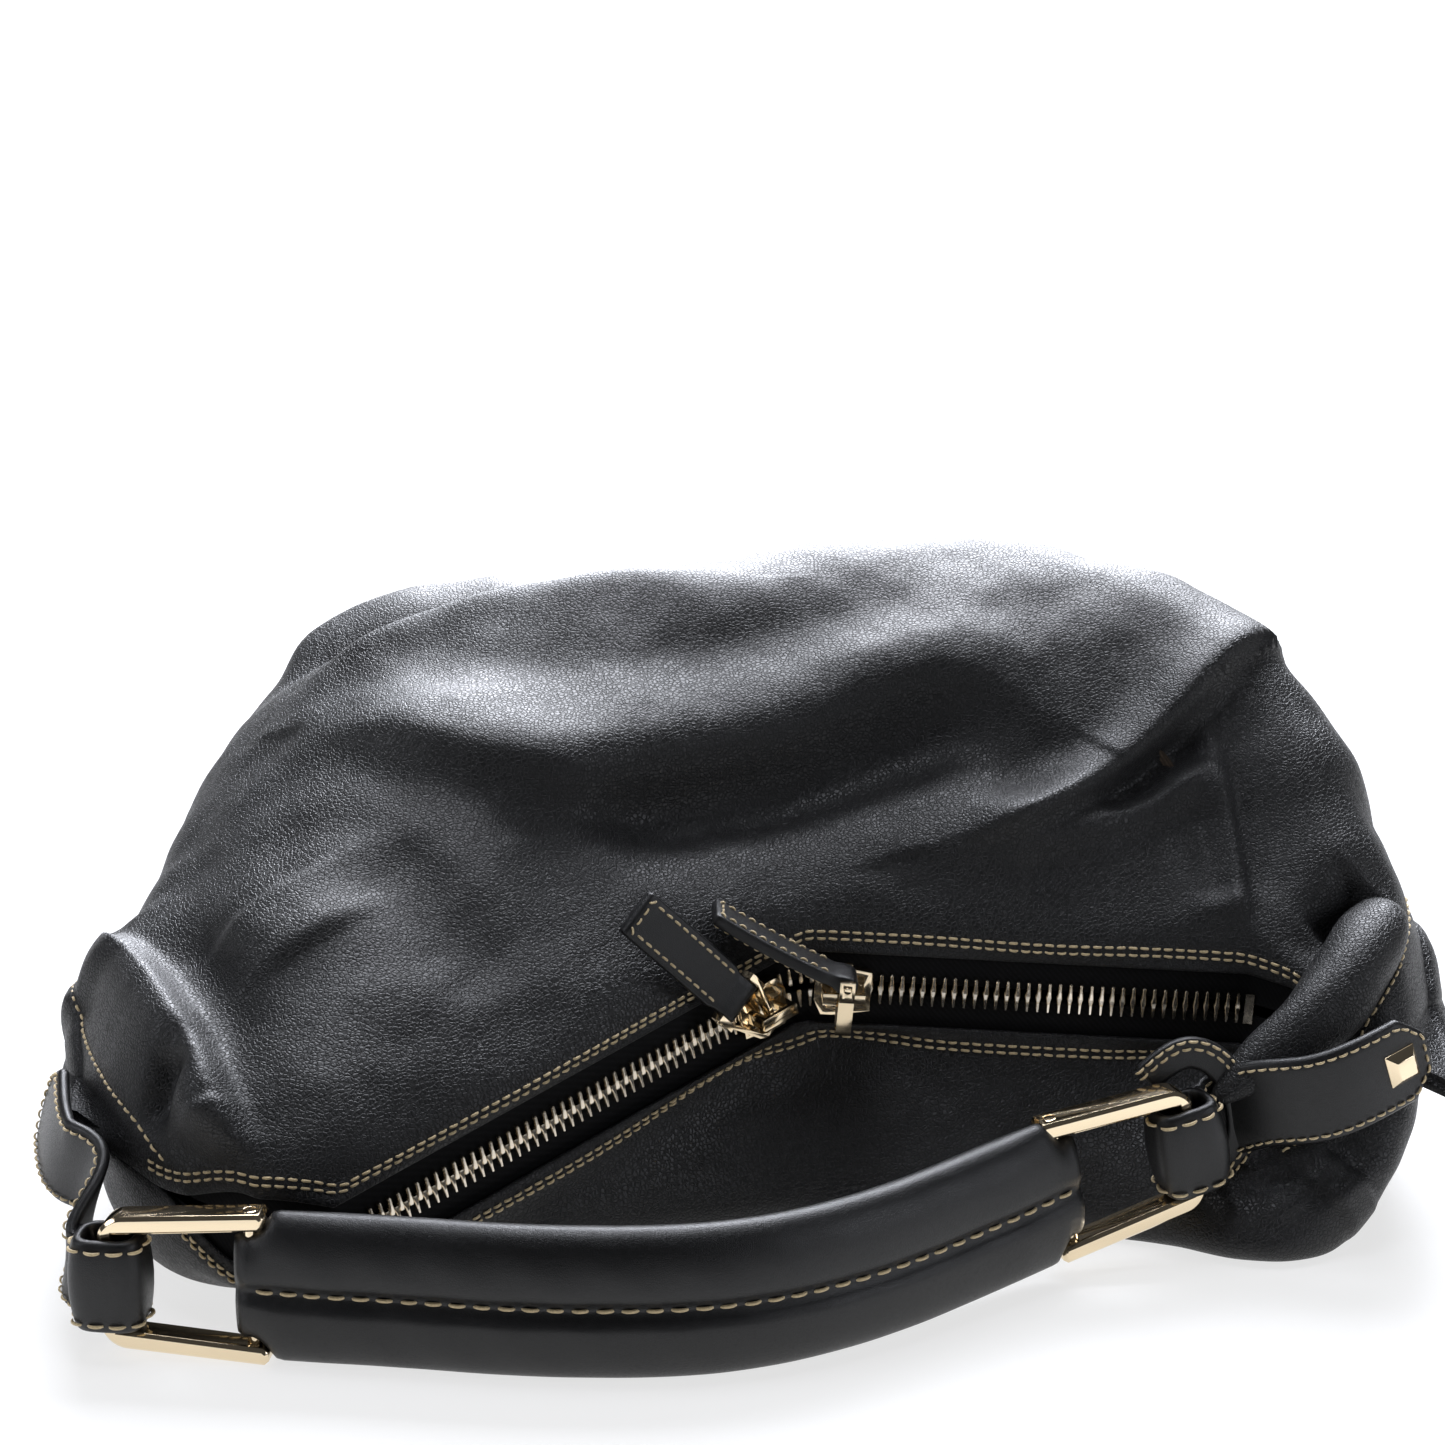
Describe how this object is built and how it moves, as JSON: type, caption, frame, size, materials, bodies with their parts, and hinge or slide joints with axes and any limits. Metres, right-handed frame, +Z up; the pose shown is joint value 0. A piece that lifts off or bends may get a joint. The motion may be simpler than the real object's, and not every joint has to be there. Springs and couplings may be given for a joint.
{
  "type": "hobo bag",
  "caption": "Soft leather hobo bag lying on its back, zipped mouth forward, padded grip on two U-shaped rings held by leather keepers.",
  "frame": {"origin": "middle of the flat patch under the back panel that the bag lies on", "axes": "+X from the handle's left keeper to its right one, along the mouth; +Y from the mouth to the bag's bottom edge; +Z up, through the front panel"},
  "size_m": [0.3695, 0.3066, 0.1576],
  "materials": {
    "body_leather": "soft drummed grain, satin",
    "strap_leather": "smooth, satin",
    "lining_cloth": "plain cotton twill",
    "zipper_tape": "woven twill tape",
    "zipper_metal": "polished, pale",
    "pale_gold": "polished, pale gold plate",
    "core_cord": "twisted cotton cord"
  },
  "bodies": {
    "root": {"front_panel": "body_leather", "back_panel": "body_leather", "lining_front": "lining_cloth", "lining_back": "lining_cloth", "inner_pocket": "lining_cloth", "zipper_tape_upper": "zipper_tape", "zipper_tape_lower": "zipper_tape", "zipper_teeth_upper": "zipper_metal", "zipper_teeth_lower": "zipper_metal", "zipper_end_stops": "zipper_metal", "tab_left": "strap_leather", "tab_right": "strap_leather", "tab_stud_left": "pale_gold", "tab_stud_right": "pale_gold"},
    "keepers": {"keeper_left": "strap_leather", "keeper_right": "strap_leather"},
    "ring_left": {"ring_left": "pale_gold", "ring_pin_left": "pale_gold"},
    "ring_right": {"ring_right": "pale_gold", "ring_pin_right": "pale_gold"},
    "grip": {"grip_cover": "strap_leather", "grip_cores": "core_cord"},
    "slider_left": {"slider_left": "pale_gold"},
    "slider_right": {"slider_right": "pale_gold"},
    "link_left": {"puller_link_left": "pale_gold", "puller_pin_left": "pale_gold"},
    "link_right": {"puller_link_right": "pale_gold", "puller_pin_right": "pale_gold"},
    "pull_left": {"leather_pull_left": "strap_leather"},
    "pull_right": {"leather_pull_right": "strap_leather"}
  },
  "joints": [
    {"name": "handle_swing", "type": "hinge", "parent": "root", "child": "keepers", "pos_m": [-0.161, -0.086, 0.033], "axis": [0.9886, 0.149, 0.0237], "range_deg": [-35, 0]},
    {"name": "ring_left_turn", "type": "hinge", "parent": "keepers", "child": "ring_left", "pos_m": [-0.157, -0.106, 0.0204], "axis": [0, 0, 1], "range_deg": [-4, 4]},
    {"name": "grip_turn", "type": "hinge", "parent": "ring_left", "child": "grip", "pos_m": [-0.1215, -0.11022, 0.0204], "axis": [0, 0, 1], "range_deg": [-5, 5]},
    {"name": "ring_right_turn", "type": "hinge", "parent": "keepers", "child": "ring_right", "pos_m": [0.114, -0.052, 0.032], "axis": [-0.1908, -0.0616, 0.9797], "range_deg": [-2, 2]},
    {"name": "slider_left_slide", "type": "slide", "parent": "root", "child": "slider_left", "axis": [-0.7814, -0.5772, -0.2372], "range_m": [0, 0.025], "deforming": ["zipper_teeth_upper", "zipper_teeth_lower"]},
    {"name": "slider_right_slide", "type": "slide", "parent": "root", "child": "slider_right", "axis": [0.9979, 0.0168, -0.0629], "range_m": [0, 0.08], "deforming": ["zipper_teeth_upper", "zipper_teeth_lower"]},
    {"name": "link_left_lift", "type": "hinge", "parent": "slider_left", "child": "link_left", "pos_m": [0.00306, -0.0298, 0.05735], "axis": [0.5814, 0.4294, 0.6911], "range_deg": [0, 10]},
    {"name": "link_right_turn", "type": "hinge", "parent": "slider_right", "child": "link_right", "pos_m": [0.02561, -0.02356, 0.06078], "axis": [-0.9979, -0.0168, 0.0629], "range_deg": [-15, 0]},
    {"name": "pull_left_lift", "type": "hinge", "parent": "link_left", "child": "pull_left", "pos_m": [-0.00278, -0.03411, 0.06494], "axis": [0.5814, 0.4294, 0.6911], "range_deg": [0, 30]},
    {"name": "pull_right_lift", "type": "hinge", "parent": "link_right", "child": "pull_right", "pos_m": [0.02606, -0.0264, 0.06726], "axis": [-0.0168, 0.9999, 0], "range_deg": [0, 90]}
  ],
  "couplings": [
    {"joint": "grip_turn", "follows": "ring_left_turn", "ratio": -1.22},
    {"joint": "ring_right_turn", "follows": "ring_left_turn", "ratio": 0.38}
  ]
}
